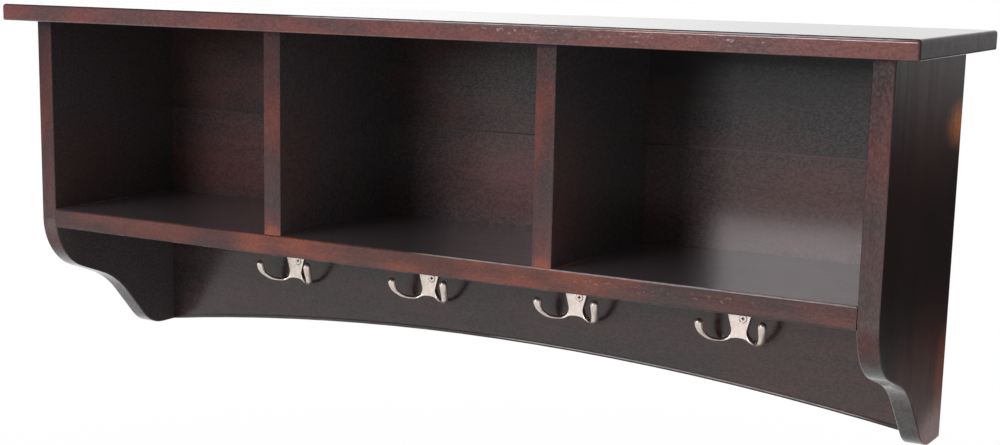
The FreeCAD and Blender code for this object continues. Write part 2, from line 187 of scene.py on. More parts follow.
woodGrain = {
    # noises: scale along the grain, scale across it, detail, roughness
    "sway": (2.0, 6.0, 2.0, 0.55),
    "wide": (5.0, 120.0, 4.0, 0.6),
    "fine": (22.0, 950.0, 2.0, 0.55),
    "pores": (130.0, 2100.0, 1.0, 0.55),
    "clouds": (13.0, 30.0, 2.5, 0.55),
    "mottle": (400.0, 620.0, 3.0, 0.7),
    "chips": (190.0, 520.0, 3.0, 0.65),
    # what part of each noise counts
    "streakSpan": (0.3, 0.7), "poreSpan": (0.63, 0.75), "cloudSpan": (0.36, 0.66),
    "mottleSpan": (0.32, 0.7), "chipSpan": (0.60, 0.66),
    "swayWidth": 0.018,                     # how far the streaks wander, in metres
    "wideShare": 0.62,                      # wide streaks against fine ones
    "boardShift": (1.73, 0.61, 2.17),       # keeps the grain of any two boards apart
}
spotCore = 0.15                             # share of a spot's radius at full strength


def grainNoise(tree, field, name):
    along, across, detail, roughness = woodGrain[name]
    squeeze = addNode(tree, "ShaderNodeMapping")
    feed(tree, squeeze.inputs["Vector"], field)
    squeeze.inputs["Scale"].default_value = (along, across, across)
    return noise(tree, squeeze.outputs[0], 1.0, detail, roughness)


def makeBoardField():
    # turns a place on the rack into a place in the board, with the grain along X
    inputs = {"Place": "vector", "Upright": "value", "Board": "value"}
    group, given, out = newGroup("boardField", inputs, {"Field": "vector"})
    axes = splitAxes(group, given["Place"])
    turned = addNode(group, "ShaderNodeCombineXYZ")
    for socket, axis in zip(turned.inputs, "ZYX"):
        feed(group, socket, axes[axis])
    pick = addNode(group, "ShaderNodeMix", data_type="VECTOR")
    feed(group, pick.inputs["Factor"], given["Upright"])
    feed(group, pick.inputs[4], given["Place"])
    feed(group, pick.inputs[5], turned.outputs[0])
    shift = addNode(group, "ShaderNodeVectorMath", operation="SCALE")
    shift.inputs[0].default_value = woodGrain["boardShift"]
    feed(group, shift.inputs["Scale"], given["Board"])
    moved = addNode(group, "ShaderNodeVectorMath", operation="ADD")
    feed(group, moved.inputs[0], pick.outputs[1])
    feed(group, moved.inputs[1], shift.outputs[0])
    feed(group, out["Field"], moved.outputs[0])
    return group


def makeGrain():
    # long soft streaks, short pores, the clouding of a wiped stain and its fine mottle
    look = woodGrain
    outputs = dict.fromkeys(("Streaks", "Pores", "Clouds", "Mottle"), "value")
    group, given, out = newGroup("grain", {"Field": "vector"}, outputs)
    field = given["Field"]
    bent = addNode(group, "ShaderNodeVectorMath", operation="MULTIPLY_ADD")
    feed(group, bent.inputs[0], grainNoise(group, field, "sway"))
    bent.inputs[1].default_value = (0.0, look["swayWidth"], look["swayWidth"])
    feed(group, bent.inputs[2], field)
    wide = times(group, grainNoise(group, bent.outputs[0], "wide"), look["wideShare"])
    fine = times(group, grainNoise(group, bent.outputs[0], "fine"), 1.0 - look["wideShare"])
    feed(group, out["Streaks"], rangeOf(group, plus(group, wide, fine), *look["streakSpan"]))
    feed(group, out["Pores"], rangeOf(group, grainNoise(group, field, "pores"), *look["poreSpan"]))
    feed(group, out["Clouds"], rangeOf(group, grainNoise(group, field, "clouds"), *look["cloudSpan"]))
    feed(group, out["Mottle"], rangeOf(group, grainNoise(group, field, "mottle"), *look["mottleSpan"]))
    return group


def makeNearLine():
    # 1 on a straight or round arris, falling to 0 at the reach; A and B run across it
    inputs = dict.fromkeys(("A", "B", "LineA", "LineB", "Reach"), "value")
    group, given, out = newGroup("nearLine", inputs, {"Mask": "value"})
    far = distance(group, minus(group, given["A"], given["LineA"]), minus(group, given["B"], given["LineB"]))
    feed(group, out["Mask"], rangeOf(group, far, 0.0, given["Reach"], 1.0, 0.0))
    return group


def makeBetween():
    # 1 from Low to High, with soft ends
    inputs = dict.fromkeys(("Value", "Low", "High", "Soft"), "value")
    group, given, out = newGroup("between", inputs, {"Mask": "value"})
    value, soft = given["Value"], given["Soft"]
    rise = rangeOf(group, value, minus(group, given["Low"], soft), plus(group, given["Low"], soft))
    fall = rangeOf(group, value, minus(group, given["High"], soft), plus(group, given["High"], soft),
                   1.0, 0.0)
    feed(group, out["Mask"], times(group, rise, fall))
    return group


def makeSpot():
    # 1 in the middle of an oval, falling to 0 at its edge
    inputs = dict.fromkeys(("A", "B", "CentreA", "CentreB", "SizeA", "SizeB"), "value")
    group, given, out = newGroup("spot", inputs, {"Mask": "value"})
    shares = []
    for axis in "AB":
        away = minus(group, given[axis], given["Centre" + axis])
        shares.append(calculate(group, "DIVIDE", away, given["Size" + axis]))
    feed(group, out["Mask"], rangeOf(group, distance(group, *shares), spotCore, 1.0, 1.0, 0.0))
    return group


boardField = makeBoardField()
grain = makeGrain()
nearLine = makeNearLine()
between = makeBetween()
spot = makeSpot()
print("effects ready")


# Stained wood

stainedWood = {
    "dark": (0.0120, 0.0100, 0.0108, 1.0),
    "brown": (0.0420, 0.0260, 0.0255, 1.0),
    # dust and painted sheen: a pale film that lightens the insides of the cubbies
    "dustAndSheen": (0.160, 0.140, 0.146, 1.0),
    "red": (0.175, 0.038, 0.028, 1.0),
    "wine": (0.165, 0.052, 0.053, 1.0),
    "orange": (0.270, 0.060, 0.030, 1.0),
    "amber": (0.850, 0.260, 0.060, 1.0),
    "paleWearAndHighlight": (0.70, 0.64, 0.62, 1.0),
    "paintedReflection": (0.46, 0.28, 0.27, 1.0),
    "bareWood": (0.50, 0.36, 0.26, 1.0),
    "front": ((0.054, 0.030, 0.031, 1.0), (0.098, 0.032, 0.030, 1.0)),     # front edges, brown and red
    "streakShare": 0.45,                    # streaks against mottle in the colour
    "poreDark": 0.5, "frontDark": 0.32,     # how much pores and the mottle of the fronts darken
    "frontFacing": (-0.6, -0.95),           # a front edge looks this much along Y
    "patchFacing": (0.5, 0.8),              # and a patch's face this much its own way
    "levelFacing": (0.5, 0.95),             # level faces, which have no relief
    "frontEndSoft": 0.012, "glowSoft": 0.02, "markEndSoft": 0.015, "dustAndSheenSoft": 0.0004,
    "glowShares": (0.3, 1.0), "patchShares": (0.3, 1.5), "dustAndSheenShares": (0.6, 1.4),
    "lineNoiseScale": 120.0, "lineNoiseSpan": (0.3, 0.6), "lineNoiseShares": (0.6, 1.0),
    "roughness": (0.17, 0.26), "markRoughness": 0.8, "specular": 0.36,
    "reliefDepth": 0.000025, "streakRelief": 0.4,
}
# coat: least and most weight, over the part of the grain that coatSpan gives
finishes = {
    "satin": {"coat": (0.10, 0.65), "coatSpan": (0.15, 0.85), "coatRoughness": 0.20, "relief": 0.35},
    "polished": {"coat": (0.10, 0.65), "coatSpan": (0.15, 0.85), "coatRoughness": 0.12, "relief": 0.35,
                 "mirrorFacing": (0.93, 0.995)},
    "even": {"coat": (0.25, 0.46), "coatSpan": (0.1, 0.9), "coatRoughness": 0.28, "relief": 0.12},
}
dustAndSheenPast = 0.0005                           # the dust and painted sheen reach this far past the cubbies' faces
dustAndSheenSetback = 0.0008                        # and start this far behind the front edges
dustAndSheenRoom = {
    "X": (-edges["inside"] - dustAndSheenPast, edges["inside"] + dustAndSheenPast),
    "Y": (edges["front"] + dustAndSheenSetback, edges["wall"] + dustAndSheenPast),
    "Z": (edges["shelfFace"] - dustAndSheenPast, edges["topUnder"] + dustAndSheenPast),
}
seamLight = [
    # painted light on the seam: a pale line along its length that hides the groove's shade, and a painted
    # highlight on its chamfers in the right cubby
    ("YZ", (edges["backFace"], edges["seam"]), (-0.42, 0.42), 0.0013, "dustAndSheen", 0.45),
    ("YZ", (edges["backFace"], edges["seam"]), (0.19, 0.40), 0.0009, "paleWearAndHighlight", 0.45),
]

# lineMarks: painted highlights and painted shade along arrises, the seam and the arch, and paler lines along
# floor corners, as (axes across an arris, its place on them, span along it, reach, colour, amount),
# where R is the distance from the arch's centre
# chipped: the same, broken up into chips
# glow: warmer stretches of a front edge, (from, to, amount) along the board
# patches: ovals of another tone, and painted glints, painted reflection and painted shade where marked, on
# the right (YZ), front (XZ) or upper (XY) faces,
# (axes, centre, half sizes, colour, amount)
boards = {
    "top_board": {
        "grain": "X", "finish": "polished", "warmth": 0.10, "dustAndSheen": 0.3,
        "front": ((0.150, 0.081, 0.081, 1.0), (0.246, 0.088, 0.079, 1.0)),
        "glow": [(-0.46, -0.30, 0.12), (0.42, 0.46, 0.25)],
        "lineMarks": [
            # a painted shade line just behind the front arris, and a painted highlight on the arris
            ("YZ", (edges["topFront"] + 0.0020, edges["topFace"] - 0.0002), (-0.05, 0.44), 0.0011,
             "dark", 0.9),
            ("YZ", (edges["topFront"] + 0.0006, edges["topFace"] - 0.0012), (-0.10, 0.445), 0.0010,
             "paleWearAndHighlight", 0.8)],
        "chipped": [
            ("YZ", (edges["topFront"] + 0.0003, edges["topFace"] - 0.006), (0.08, 0.40), 0.0035,
             "paleWearAndHighlight", 0.5),
            ("YZ", (edges["topFront"] + 0.0003, edges["topFace"] - 0.011), (0.12, 0.33), 0.0030,
             "bareWood", 0.35)],
    },
    "left_side": {
        "grain": "Z", "finish": "satin", "warmth": 0.03, "dustAndSheen": 0.38, "dustAndSheenFrom": edges["foot"] - dustAndSheenPast,
        "frontEnd": -0.215, "glow": [(-0.10, -0.03, 0.3)],
        "patches": [("YZ", (-0.15, -0.125), (0.08, 0.07), "red", 0.2)],
    },
    "right_side": {
        "grain": "Z", "finish": "satin", "warmth": 0.06, "dustAndSheen": 0.3,
        "frontEnd": -0.215, "glow": [(-0.10, -0.02, 0.2), (-0.21, -0.17, 0.15)],
        "patches": [
            ("YZ", (-0.05, -0.25), (0.16, 0.09), "red", 0.48),
            ("YZ", (-0.09, -0.02), (0.14, 0.10), "red", 0.22),
            ("YZ", (0.006, -0.037), (0.060, 0.027), "amber", 0.85),
            ("YZ", (0.004, -0.250), (0.045, 0.055), "orange", 1.6),
            # painted reflection: the foot of the side lighter, as if it mirrored the floor
            ("YZ", (-0.02, -0.308), (0.080, 0.046), "paintedReflection", 1.45),
            ("YZ", (0.0, -0.3085), (0.014, 0.005), "paleWearAndHighlight", 2.0)],
    },
    "left_divider": {
        "grain": "Z", "finish": "satin", "warmth": 0.05, "dustAndSheen": 0.5,
        "glow": [(-0.17, -0.15, 0.6), (-0.12, -0.03, 0.35)],
        "patches": [
            ("XZ", (-0.1415, edges["shelfFace"]), (0.016, 0.014), "orange", 1.15),
            ("YZ", (-0.17, -0.10), (0.06, 0.09), "red", 0.25)],
    },
    "right_divider": {
        "grain": "Z", "finish": "satin", "warmth": 0.05, "dustAndSheen": 0.4,
        "glow": [(-0.17, -0.15, 0.5), (-0.075, -0.01, 0.55)],
        "patches": [
            ("XZ", (0.1415, edges["shelfFace"]), (0.016, 0.014), "orange", 1.0),
            ("YZ", (-0.17, -0.11), (0.06, 0.09), "red", 0.3)],
    },
    "shelf": {
        "grain": "X", "finish": "satin", "warmth": 0.06, "dustAndSheen": 0.6,
        "front": ((0.050, 0.023, 0.023, 1.0), (0.092, 0.025, 0.021, 1.0)),
        "glow": [(-0.40, -0.24, 0.30), (-0.18, 0.24, 0.95), (0.36, 0.42, 0.4)],
        "lineMarks": [
            # a painted highlight on the front top arris, and painted shade on the front lower arris
            ("YZ", (edges["front"] + 0.0004, edges["shelfFace"] - 0.0005), (0.02, 0.412), 0.0010,
             "paleWearAndHighlight", 0.6),
            ("YZ", (edges["front"] + 0.0002, edges["shelfUnder"] + 0.0002), (-0.415, 0.415), 0.0016,
             "dark", 0.9),
            # paler lines along the floor's corners with the left side and the back
            ("XZ", (-edges["inside"] + 0.0006, edges["shelfFace"]), (-0.18, -0.01), 0.0030,
             "paleWearAndHighlight", 0.35),
            ("YZ", (edges["backFace"] - 0.0008, edges["shelfFace"]), (-0.41, -0.15), 0.0030,
             "paleWearAndHighlight", 0.2)],
        "chipped": [
            ("YZ", (edges["front"], edges["shelfFace"] - 0.008), (0.17, 0.33), 0.0045, "bareWood", 0.6)],
        "patches": [
            # painted glints: warm reflections on the shelf along the feet of the sides and dividers
            ("XY", (-0.415, -0.150), (0.006, 0.070), "amber", 0.35),
            ("XY", (-0.132, -0.160), (0.006, 0.040), "amber", 0.35),
            ("XY", (0.151, -0.155), (0.006, 0.045), "amber", 0.6)],
    },
    "upper_back_board": {
        "grain": "X", "finish": "even", "warmth": 0.20, "dustAndSheen": 0.11, "lineMarks": seamLight,
        # painted shade under the top board, darkening the upper back on the right
        "patches": [("XZ", (0.28, 0.01), (0.24, 0.09), "dark", 1.3)],
    },
    "lower_back_board": {
        "grain": "X", "finish": "even", "warmth": 0.10, "dustAndSheen": 0.19,
        "lineMarks": seamLight + [
            # painted shade along the arch's lowest edge, a painted highlight on its bead and a painted shade
            # line in the quirk above
            ("RY", (arch["radius"] - 0.0001, edges["backFace"] + 0.0014), (-0.42, 0.42), 0.0026, "dark", 1.4),
            ("RY", (arch["radius"] + 0.0023, edges["backFace"] - 0.0001), (0.0, 0.37), 0.0009,
             "paleWearAndHighlight", 0.8),
            ("RY", (arch["radius"] + 0.00345, edges["backFace"] + 0.0002), (-0.35, 0.42), 0.0013,
             "dark", 0.9)],
        "patches": [
            ("XZ", (-0.32, -0.125), (0.22, 0.07), "wine", 0.40),
            ("XZ", (0.05, -0.12), (0.17, 0.07), "wine", 0.68),
            ("XZ", (0.31, -0.12), (0.16, 0.08), "wine", 0.50),
            ("XZ", (-0.41, -0.24), (0.12, 0.12), "dustAndSheen", 0.12),
            ("XZ", (0.36, -0.25), (0.20, 0.10), "red", 0.16)],
    },
}


def readSurface(tree, board, number):
    # what a finish needs to know of each point on a board
    coordinates = addNode(tree, "ShaderNodeTexCoord").outputs
    place = splitAxes(tree, coordinates["Object"])
    place["R"] = distance(tree, place["X"], minus(tree, place["Z"], arch["centreZ"]))
    upright = 1.0 if board["grain"] == "Z" else 0.0
    field = useGroup(tree, boardField, Place=coordinates["Object"], Upright=upright, Board=number)["Field"]
    marks = useGroup(tree, grain, Field=field)
    share = stainedWood["streakShare"]
    fineGrain = plus(tree, times(tree, marks["Streaks"], share), times(tree, marks["Mottle"], 1.0 - share))
    return {"place": place, "facing": splitAxes(tree, coordinates["Normal"]), "field": field,
            "marks": marks, "fineGrain": fineGrain}


def frontColour(tree, board, at):
    # the front edges: lighter than the faces, redder in long clouds, orange where they glow
    look, marks = stainedWood, at["marks"]
    brown, red = board.get("front", look["front"])
    colour = mixColours(tree, marks["Clouds"], brown, red)
    least, most = look["glowShares"]
    for start, stop, amount in board["glow"]:
        stretch = useGroup(tree, between, Value=at["place"][board["grain"]], Low=start, High=stop,
                           Soft=look["glowSoft"])["Mask"]
        lively = fade(tree, marks["Clouds"], least * amount, most * amount)
        colour = mixColours(tree, times(tree, stretch, lively), colour, look["orange"])
    return mixColours(tree, fade(tree, marks["Mottle"], look["frontDark"], 0.0), colour, look["dark"])


def stainColour(tree, board, at):
    # dark stain in fine grain, a little redder in its clouds
    look, marks = stainedWood, at["marks"]
    colour = mixColours(tree, at["fineGrain"], look["dark"], look["brown"])
    colour = mixColours(tree, times(tree, marks["Clouds"], board["warmth"]), colour, look["red"])
    if "glow" in board:
        front = rangeOf(tree, at["facing"]["Y"], *look["frontFacing"])
        if "frontEnd" in board:
            end, soft = board["frontEnd"], look["frontEndSoft"]
            front = times(tree, front, rangeOf(tree, at["place"]["Z"], end - soft, end + soft))
        colour = mixColours(tree, front, colour, frontColour(tree, board, at))
    return mixColours(tree, times(tree, marks["Pores"], look["poreDark"]), colour, look["dark"])


def addDustAndSheen(tree, board, at, colour):
    # a thin film inside the cubbies, part dust and part painted sheen that lightens their dark faces, and on
    # one side down to its foot
    look = stainedWood
    dustAndSheenShare = fade(tree, at["marks"]["Mottle"], *[share * board["dustAndSheen"] for share in look["dustAndSheenShares"]])
    for axis, (low, high) in dustAndSheenRoom.items():
        if axis == "Z":
            low = board.get("dustAndSheenFrom", low)
        within = useGroup(tree, between, Value=at["place"][axis], Low=low, High=high, Soft=look["dustAndSheenSoft"])
        dustAndSheenShare = times(tree, dustAndSheenShare, within["Mask"])
    return mixColours(tree, dustAndSheenShare, colour, look["dustAndSheen"])


def addPatches(tree, board, at, colour):
    look = stainedWood
    least, most = look["patchShares"]
    # which way the faces across each pair of axes look
    ways = {"YZ": ("X", 1), "XZ": ("Y", -1), "XY": ("Z", 1)}
    for pair, centre, size, tint, amount in board.get("patches", ()):
        oval = useGroup(tree, spot, A=at["place"][pair[0]], B=at["place"][pair[1]], CentreA=centre[0],
                        CentreB=centre[1], SizeA=size[0], SizeB=size[1])["Mask"]
        axis, sign = ways[pair]
        shown = rangeOf(tree, at["facing"][axis], *[sign * share for share in look["patchFacing"]])
        lively = times(tree, shown, fade(tree, at["fineGrain"], least * amount, most * amount))
        colour = mixColours(tree, times(tree, oval, lively), colour, look[tint])
    return colour


def wearAndLightMask(tree, at, mark, chipped):
    look, (pair, line, span, reach, colour, amount) = stainedWood, mark
    along = next(axis for axis in "XYZ" if axis not in pair)
    mask = useGroup(tree, nearLine, A=at["place"][pair[0]], B=at["place"][pair[1]], LineA=line[0],
                    LineB=line[1], Reach=reach)["Mask"]
    if chipped:
        broken = rangeOf(tree, grainNoise(tree, at["field"], "chips"), *woodGrain["chipSpan"])
    else:
        lineNoise = noise(tree, at["field"], look["lineNoiseScale"])
        broken = rangeOf(tree, lineNoise, *look["lineNoiseSpan"], *look["lineNoiseShares"])
    within = useGroup(tree, between, Value=at["place"][along], Low=span[0], High=span[1],
                      Soft=look["markEndSoft"])["Mask"]
    return times(tree, times(tree, mask, broken), times(tree, within, amount))


def addWearAndLight(tree, board, at, colour):
    # gives the colour with chips and with the painted lines of highlight and shade, and the mask of all that
    # is made dull
    marks = [(mark, False) for mark in board.get("lineMarks", ())]
    marks += [(mark, True) for mark in board.get("chipped", ())]
    dull = None
    for mark, chipped in marks:
        mask = wearAndLightMask(tree, at, mark, chipped)
        colour = mixColours(tree, mask, colour, stainedWood[mark[4]])
        dull = mask if dull is None else larger(tree, dull, mask)
    return colour, dull


def addGloss(tree, shader, board, at, dull):
    look, finish = stainedWood, finishes[board["finish"]]
    mottle = at["marks"]["Mottle"]
    rough = fade(tree, mottle, *look["roughness"])
    # on the flat backs the lacquer follows the mottle alone
    layer = mottle if board["finish"] == "even" else at["fineGrain"]
    coat = rangeOf(tree, layer, *finish["coatSpan"], *finish["coat"])
    if "mirrorFacing" in finish:
        coat = larger(tree, coat, rangeOf(tree, at["facing"]["Z"], *finish["mirrorFacing"]))
    if dull is not None:
        rough = larger(tree, rough, times(tree, dull, look["markRoughness"]))
        coat = times(tree, coat, minus(tree, 1.0, dull))
    feed(tree, shader.inputs["Roughness"], rough)
    feed(tree, shader.inputs["Coat Weight"], coat)
    shader.inputs["Coat Roughness"].default_value = finish["coatRoughness"]
    shader.inputs["Specular IOR Level"].default_value = look["specular"]


def woodMaterial(name, number, board):
    look = stainedWood
    material, tree, shader = newMaterial(name)
    at = readSurface(tree, board, number)
    colour = addPatches(tree, board, at, addDustAndSheen(tree, board, at, stainColour(tree, board, at)))
    colour, dull = addWearAndLight(tree, board, at, colour)
    feed(tree, shader.inputs["Base Color"], colour)
    addGloss(tree, shader, board, at, dull)
    # the relief of streaks, mottle and pores, with none on level faces
    marks = at["marks"]
    relief = plus(tree, times(tree, marks["Streaks"], look["streakRelief"]),
                  minus(tree, marks["Mottle"], marks["Pores"]))
    level = calculate(tree, "ABSOLUTE", at["facing"]["Z"])
    relief = times(tree, relief, rangeOf(tree, level, *look["levelFacing"], 1.0, 0.0))
    addRelief(tree, shader, relief, look["reliefDepth"], finishes[board["finish"]]["relief"])
    return material


def paint(node, material):
    node.data.materials.clear()
    node.data.materials.append(material)


for number, (name, board) in enumerate(boards.items()):
    paint(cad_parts[name], woodMaterial("stain_" + name, float(number), board))
print("boards stained:", len(boards))


# Hooks: one smooth casting, shared by all four (millimetres, in the hook's own plane)

hookShape = {
    "places": (-246.25, -80.75, 84.75, 250.25),
    "plateBack": -8.0, "plateFront": -10.88,
    "crownZ": -207.1, "head": (13.8, -211.6), "waist": (7.5, -236.2), "waistRadius": 8.5,
    "sideSlope": 15.0, "legSlope": 52.0, "toe": (11.9, -245.9), "notchZ": -242.9,
    "sideSteps": 14, "notchSteps": 18, "crownSteps": 14,
    "armRoot": (8.0, -9.5, -242.6),
    # out, forward, up, width, thickness from the root
    "arm": [(0.0, 0.0, 0.0, 3.6, 3.2), (3.0, 0.2, -1.8, 4.4, 3.1), (6.3, 0.6, -3.1, 5.3, 3.1),
            (9.2, 1.9, -3.6, 6.0, 3.2), (13.6, 6.6, -2.9, 6.4, 3.4), (17.6, 11.8, -0.4, 6.8, 3.9),
            (20.5, 16.7, 3.8, 7.2, 4.8), (21.5, 19.5, 7.0, 7.4, 5.8), (22.1, 21.5, 10.7, 7.6, 6.9),
            (22.2, 22.6, 14.5, 7.7, 7.7)],
    "armHeading": (0.616, -0.788),          # where the arm points, seen from above
    "armSteps": 4, "armSides": 20,
    "tipAngles": (20, 40, 58, 74, 86),      # degrees round the tip
    "rightLift": 3.7,                       # the right arm stands a little taller
    "liftFrom": 14.0, "liftOver": 8.0,      # from this far out, over this length
    "screws": ((3.6, -224.5), (-3.6, -213.0)),
    "seatRadius": 3.65, "seatDepth": 6.0, "seatMiddle": -10.0, "seatSides": 40,
    "voxel": 0.4, "smoothing": 0.5, "smoothRounds": 5, "keep": 0.4,
}
millimetre = 0.001                          # in metres


def arcThrough(a, b, c, count):
    # points from a to c on the circle through all three, without c
    a, b, c = (Vector(point) for point in (a, b, c))
    d = 2 * (a.x * (b.y - c.y) + b.x * (c.y - a.y) + c.x * (a.y - b.y))
    weights = [p.length_squared for p in (a, b, c)]
    centre = Vector(((weights[0] * (b.y - c.y) + weights[1] * (c.y - a.y) + weights[2] * (a.y - b.y)) / d,
                     (weights[0] * (c.x - b.x) + weights[1] * (a.x - c.x) + weights[2] * (b.x - a.x)) / d))
    turn = (a - centre).angle_signed(c - centre)
    arm = a - centre
    points = []
    for i in range(count):
        angle = -turn * i / count
        points.append((centre.x + arm.x * math.cos(angle) - arm.y * math.sin(angle),
                       centre.y + arm.x * math.sin(angle) + arm.y * math.cos(angle)))
    return points


def plateOutline():
    shape = hookShape
    side, leg = math.radians(shape["sideSlope"]), math.radians(shape["legSlope"])
    radius, (waistX, waistZ) = shape["waistRadius"], shape["waist"]
    upper = (waistX + radius * (1 - math.cos(side)), waistZ + radius * math.sin(side))
    foot = (waistX + radius * (1 - math.cos(leg)), waistZ - radius * math.sin(leg))
    head, toe = shape["head"], shape["toe"]
    right = [head] + arcThrough(upper, shape["waist"], foot, shape["sideSteps"]) + [foot]
    left = [(-x, z) for x, z in reversed(right)]
    notch = arcThrough(toe, (0.0, shape["notchZ"]), (-toe[0], toe[1]), shape["notchSteps"])
    crown = arcThrough((-head[0], head[1]), (0.0, shape["crownZ"]), head, shape["crownSteps"])
    return right + notch + [(-toe[0], toe[1])] + left + crown[1:]


def addPlate(form):
    outline = plateOutline()
    rings = []
    for y in (hookShape["plateBack"], hookShape["plateFront"]):
        rings.append([form.verts.new((x, y, z)) for x, z in outline])
    form.faces.new(rings[0])
    form.faces.new(reversed(rings[1]))
    for i in range(len(outline)):
        j = (i + 1) % len(outline)
        form.faces.new((rings[0][j], rings[0][i], rings[1][i], rings[1][j]))


def armStations(side):
    # a smooth line through the rows of the table
    shape = hookShape
    lift = shape["rightLift"] if side > 0 else 0.0
    rows = []
    for out, forward, up, width, thickness in shape["arm"]:
        share = max(0.0, min(1.0, (out - shape["liftFrom"]) / shape["liftOver"]))
        rows.append(Vector((out, forward, up + lift * share ** 2, width, thickness)))
    smooth = []
    for i in range(len(rows) - 1):
        before, a, b, after = rows[max(i - 1, 0)], rows[i], rows[i + 1], rows[min(i + 2, len(rows) - 1)]
        for k in range(shape["armSteps"]):
            t = k / shape["armSteps"]
            smooth.append(0.5 * (2 * a + (b - before) * t + (2 * before - 5 * a + 4 * b - after) * t * t
                                 + (3 * a - before - 3 * b + after) * t ** 3))
    return smooth + [rows[-1]]


def addArm(form, side):
    # an oval swept along the arm, closed by a round tip
    rootX, rootY, rootZ = hookShape["armRoot"]
    stations = armStations(side)
    centres = [Vector((side * (rootX + row[0]), rootY - row[1], rootZ + row[2])) for row in stations]
    sections = []
    for i, row in enumerate(stations):
        ahead = (centres[min(i + 1, len(centres) - 1)] - centres[max(i - 1, 0)]).normalized()
        sections.append((centres[i], ahead, row[3] / 2, row[4] / 2))
    tip, ahead, half = sections[-1][:3]
    for angle in hookShape["tipAngles"]:
        bow = math.radians(angle)
        narrowed = half * math.cos(bow)
        sections.append((tip + ahead * half * math.sin(bow), ahead, narrowed, narrowed))
    out, forward = hookShape["armHeading"]
    level = Vector((out * side, forward, 0.0)).cross(Vector((0.0, 0.0, 1.0)))
    sides = hookShape["armSides"]
    turns = [2 * math.pi * k / sides for k in range(sides)]
    rings = []
    for centre, ahead, halfWidth, halfThick in sections:
        across = (level - ahead * level.dot(ahead)).normalized()
        up = across.cross(ahead).normalized()
        rings.append([form.verts.new(centre + across * halfWidth * math.cos(turn)
                                     + up * halfThick * math.sin(turn)) for turn in turns])
    for a, b in zip(rings, rings[1:]):
        for k in range(sides):
            form.faces.new((a[k], a[(k + 1) % sides], b[(k + 1) % sides], b[k]))
    form.faces.new(reversed(rings[0]))
    form.faces.new(rings[-1])


def addObject(name, form):
    # a mesh object of the form, which is freed
    mesh = bpy.data.meshes.new(name)
    form.to_mesh(mesh)
    form.free()
    holder = bpy.data.objects.new(name, mesh)
    bpy.context.scene.collection.objects.link(holder)
    return holder


def screwSeats():
    # the round seats that the screw heads sink into
    shape = hookShape
    radius = shape["seatRadius"] * millimetre
    form = bmesh.new()
    for x, z in shape["screws"]:
        place = Matrix.Translation((x * millimetre, shape["seatMiddle"] * millimetre, z * millimetre))
        bmesh.ops.create_cone(form, cap_ends=True, segments=shape["seatSides"], radius1=radius,
                              radius2=radius, depth=shape["seatDepth"] * millimetre,
                              matrix=place @ Matrix.Rotation(math.radians(90), 4, "X"))
    return addObject("screwSeats", form)


def castHook():
    form = bmesh.new()
    addPlate(form)
    addArm(form, -1)
    addArm(form, 1)
    bmesh.ops.recalc_face_normals(form, faces=form.faces)
    bmesh.ops.scale(form, vec=[millimetre] * 3, verts=form.verts)
    holder = addObject("hookForm", form)
    drill = holder.modifiers.new("drill", "BOOLEAN")
    drill.object = screwSeats()
    drill.solver = "EXACT"
    drill.use_self = True
    remesh = holder.modifiers.new("remesh", "REMESH")
    remesh.mode = "VOXEL"
    remesh.voxel_size = hookShape["voxel"] * millimetre
    smoothing = holder.modifiers.new("smooth", "SMOOTH")
    smoothing.factor = hookShape["smoothing"]
    smoothing.iterations = hookShape["smoothRounds"]
    lighten = holder.modifiers.new("lighten", "DECIMATE")
    lighten.ratio = hookShape["keep"]
    casting = bpy.data.meshes.new_from_object(holder.evaluated_get(bpy.context.evaluated_depsgraph_get()))
    casting.name = "hookCasting"
    bpy.data.objects.remove(drill.object)
    bpy.data.objects.remove(holder)
    for face in casting.polygons:
        face.use_smooth = True
    return casting


casting = castHook()
for number, x in enumerate(hookShape["places"], 1):
    piece = bpy.data.objects.new("castHook%d" % number, casting)
    piece.location.x = x * millimetre
    bpy.context.scene.collection.objects.link(piece)
    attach(piece, "root")
    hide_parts("hook_%d" % number)
print("hooks cast:", len(casting.polygons), "faces each")


# Hook metal and other fittings

metals = {
    "satin_nickel": {"bright": (0.79, 0.69, 0.62, 1.0), "dull": (0.70, 0.61, 0.55, 1.0),
                     "roughness": (0.30, 0.42), "mottleScale": 260.0},
    "screw_steel": {"bright": (0.79, 0.69, 0.62, 1.0), "dull": (0.68, 0.60, 0.54, 1.0),
                    "roughness": (0.28, 0.40), "mottleScale": 500.0},
    "zinc_plate": {"bright": (0.62, 0.63, 0.65, 1.0), "dull": (0.42, 0.43, 0.45, 1.0),
                   "roughness": (0.34, 0.46), "mottleScale": 400.0},
}
castSkin = {"mottleSpan": (0.35, 0.7), "fineness": 6, "reliefDepth": 0.00004, "relief": 0.4}
birch = {"light": (0.55, 0.38, 0.22, 1.0), "dark": (0.38, 0.24, 0.13, 1.0), "roughness": (0.55, 0.65)}
recess = {
    "recessShade": (0.015, 0.013, 0.012, 1.0),
    "depths": (-0.01097, -0.0108),          # painted shade behind the screws' faces, in metres
    "radius": 0.0019, "amount": 0.8,        # and on the metal about the cross
}


def recessShadeMask(tree, place):
    axes = splitAxes(tree, place)
    deep = rangeOf(tree, axes["Y"], *recess["depths"])
    first, last = hookShape["places"][0] * millimetre, hookShape["places"][-1] * millimetre
    halfPitch = (last - first) / (len(hookShape["places"]) - 1) / 2
    # every hook's screws brought to the first hook
    wrapped = addNode(tree, "ShaderNodeMath", operation="WRAP")
    for socket, value in zip(wrapped.inputs, (axes["X"], first + halfPitch, first - halfPitch)):
        feed(tree, socket, value)
    for x, z in hookShape["screws"]:
        recessShade = useGroup(tree, spot, A=wrapped.outputs[0], B=axes["Z"], CentreA=first + x * millimetre,
                         CentreB=z * millimetre, SizeA=recess["radius"], SizeB=recess["radius"])["Mask"]
        deep = larger(tree, deep, times(tree, recessShade, recess["amount"]))
    return deep


